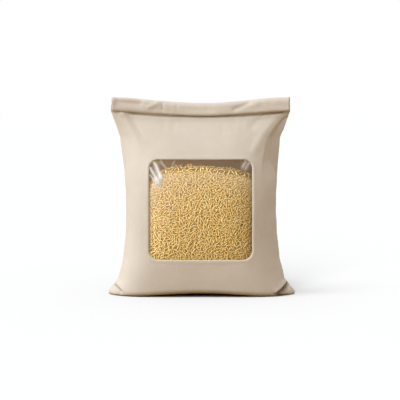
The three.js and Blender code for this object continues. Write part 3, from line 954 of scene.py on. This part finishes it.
def packedRice():
    # painted shade: the dark golden core shows as the shade in the gaps between the grains
    c = coreLook
    material, add = newMaterial("packedRice")
    room = add("TexCoord").outputs["Object"]
    cloud = add("TexNoise", {"Vector": room, "Scale": 420, "Detail": 3})
    shade = colourRamp(add, cloud, (0, c["dark"]), (1, c["light"]))
    bumpyShader(add, shade, cloud, 0.6, 0.6, {"Roughness": 0.8, **glowing(c["throughLight"])})
    return material


def wire(source, out, target, into):
    source.id_data.links.new(source.outputs[out], target.inputs[into])


def clearFilm():
    f = filmLook
    material, add = newMaterial("clearFilm")
    output = add("OutputMaterial")
    through = add("BsdfTransparent")
    # painted shade: the film darkens what shows through it near the hem, to the right and under the rice's
    # upper edge
    shade = add("Attribute", attribute_name="shade")
    tint = add("Mix", data_type="RGBA")
    tint.inputs[6].default_value = (1, 1, 1, 1)
    tint.inputs[7].default_value = (*f["shade"], 1)
    wire(shade, "Fac", tint, 0)
    wire(tint, 2, through, 0)
    gloss = add("BsdfGlossy", {"Roughness": f["roughness"]})
    haze = add("BsdfDiffuse")
    facing = add("LayerWeight", {"Blend": 0.12})
    some = add("Math", operation="MULTIPLY")
    some.inputs[1].default_value = f["edgeShine"]
    wire(facing, "Fresnel", some, 0)
    shine = add("MixShader")
    wire(some, 0, shine, 0)
    wire(through, 0, shine, 1)
    wire(gloss, 0, shine, 2)
    # creases turn the film milky white: its own whitening and a painted glint on its folds
    creaseShadeAndGlint = add("Attribute", attribute_name="creaseShadeAndGlint")
    milky = add("Mix", data_type="RGBA")
    milky.inputs[6].default_value = (*f["haze"], 1)
    milky.inputs[7].default_value = (*f["creaseShadeAndGlintColour"], 1)
    wire(creaseShadeAndGlint, "Fac", milky, 0)
    wire(milky, 2, haze, "Color")
    # a pale haze, partly painted sheen, where the film catches the light
    hazeAndSheen = add("Attribute", attribute_name="hazeAndSheen")
    pale = add("Math", operation="MULTIPLY")
    pale.inputs[1].default_value = f["hazeAndSheen"]
    wire(hazeAndSheen, "Fac", pale, 0)
    white = add("Math", operation="MULTIPLY_ADD", use_clamp=True)
    white.inputs[1].default_value = f["whiteningAndGlint"]
    wire(creaseShadeAndGlint, "Fac", white, 0)
    wire(pale, 0, white, 2)
    whole = add("MixShader")
    wire(white, 0, whole, 0)
    wire(shine, 0, whole, 1)
    wire(haze, 0, whole, 2)
    wire(whole, 0, output, "Surface")
    return material


studio = {
    "distance": 3000, "elevation": 4, "aim": (-1.5, 0, 141.2), "framed": 600,
    "lamps": [
        {"name": "key", "from": (-0.83, -0.33, 0.45), "strength": 2.25, "spread": 50,
         "colour": (0.93, 1, 1.08), "only": "goods"},
        {"name": "floorLight", "from": (0, 0, 1), "strength": 2.2, "spread": 180,
         "colour": (1, 1, 1), "only": "floor"},
        {"name": "riceLight", "from": (-0.922, -0.23, 0.36), "strength": 4.3, "spread": 40,
         "colour": (0.98, 1, 0.93), "only": "rice", "passes": True},
    ],
    # the sack's soft shade on the floor: turned from the front to the left, raised, spread, strength
    "shadeLamps": [(12, 24, 24, 2.2), (12, 42, 20, 1.9), (12, 57, 14, 1.9), (50, 66, 34, 4.3)],
    "shadeColour": (0.97, 1, 1.03),
    "room": (0.81, 0.79, 0.78), "backdrop": (1, 1, 1), "sensor": 36,
    "floorSeen": (0.2565, 0.2541, 0.2514), "floorBounce": (0.068, 0.039, 0.0034),
}


def pointAt(thing, target):
    way = Vector(target) * mm - thing.location
    thing.rotation_euler = way.to_track_quat("-Z", "Y").to_euler()


def byEye(add, shown, hidden):
    # the camera sees one shader, and the light that bounces about sees the other
    ray = add("LightPath").outputs["Is Camera Ray"]
    return add("MixShader", {0: ray, 1: hidden, 2: shown})


def lightGroup(name):
    # the pieces that a lamp lights
    return bpy.data.collections.get(name + "Only") or bpy.data.collections.new(name + "Only")


def setTheStudio():
    s = studio
    scene = bpy.context.scene
    scene.view_settings.view_transform = "Standard"
    camera = bpy.data.objects.new("camera", bpy.data.cameras.new("camera"))
    rise = math.radians(s["elevation"])
    x, y, z = s["aim"]
    far = s["distance"]
    camera.location = Vector((x, y - far * math.cos(rise), z + far * math.sin(rise))) * mm
    pointAt(camera, s["aim"])
    camera.data.sensor_width = s["sensor"]
    camera.data.lens = s["sensor"] * far / s["framed"]
    camera.data.clip_end = 50
    scene.collection.objects.link(camera)
    scene.camera = camera
    lamps = list(s["lamps"])
    for turn, lift, spread, strength in s["shadeLamps"]:
        turn, lift = math.radians(turn), math.radians(lift)
        way = (-math.cos(lift) * math.sin(turn), -math.cos(lift) * math.cos(turn), math.sin(lift))
        lamps.append({"name": "shadeLamp", "from": way, "strength": strength, "spread": spread,
                      "colour": s["shadeColour"], "only": "floor"})
    for settings in lamps:
        lamp = bpy.data.objects.new(settings["name"], bpy.data.lights.new(settings["name"], "SUN"))
        lamp.location = Vector(settings["from"]) * 2
        lamp.data.angle = math.radians(settings["spread"])
        lamp.data.energy = settings["strength"]
        lamp.data.color = settings["colour"]
        pointAt(lamp, (0, 0, 0))
        scene.collection.objects.link(lamp)
        those = lightGroup(settings["only"])
        lamp.light_linking.receiver_collection = those
        if settings.get("passes"):
            lamp.light_linking.blocker_collection = those
    world = bpy.data.worlds.new("paleRoom")
    world.use_nodes = True
    world.node_tree.nodes.clear()
    add = adderFor(world.node_tree, "ShaderNode")
    room = add("Background", {"Color": (*s["room"], 1)})
    backdrop = add("Background", {"Color": (*s["backdrop"], 1)})
    add("OutputWorld", {"Surface": byEye(add, backdrop, room)})
    scene.world = world


def layTheFloor():
    s = studio
    half, low = 9000, -0.3
    corners = [(-half, -half, low), (half, -half, low), (half, half, low), (-half, half, low)]
    floor = newPiece("floor", corners, [(0, 1, 2, 3)])
    material, add = newMaterial("paleFloor")
    seen = add("BsdfDiffuse", {"Color": (*s["floorSeen"], 1)})
    bounce = add("BsdfDiffuse", {"Color": (*s["floorBounce"], 1)})
    add("OutputMaterial", {"Surface": byEye(add, seen, bounce)})
    floor.data.materials.append(material)
    lightGroup("floor").objects.link(floor)


setTheStudio()
layTheFloor()
print("studio is set")

sackPiece = makeSack(wovenCotton(), clothInside())
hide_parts("sack")
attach(sackPiece, "root")
print("sack is sewn,", len(sackPiece.data.polygons), "faces")

heapPiece = makeHeap(packedRice())
grainLooks = {depth: riceGrain(depth) for depth in ("top", "mid", "deep")}
grainPieces = scatterGrains(heapPiece, grainKinds, grainLooks)
for piece in [heapPiece] + grainPieces:
    lightGroup("rice").objects.link(piece)
    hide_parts("rice")
    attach(piece, "root")
print("rice is poured")

filmPiece = layTheFilm(clearFilm())
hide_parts("window_film")
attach(filmPiece, "root")
print("film is in the window")

for piece in [sackPiece, heapPiece, filmPiece] + grainPieces:
    lightGroup("goods").objects.link(piece)
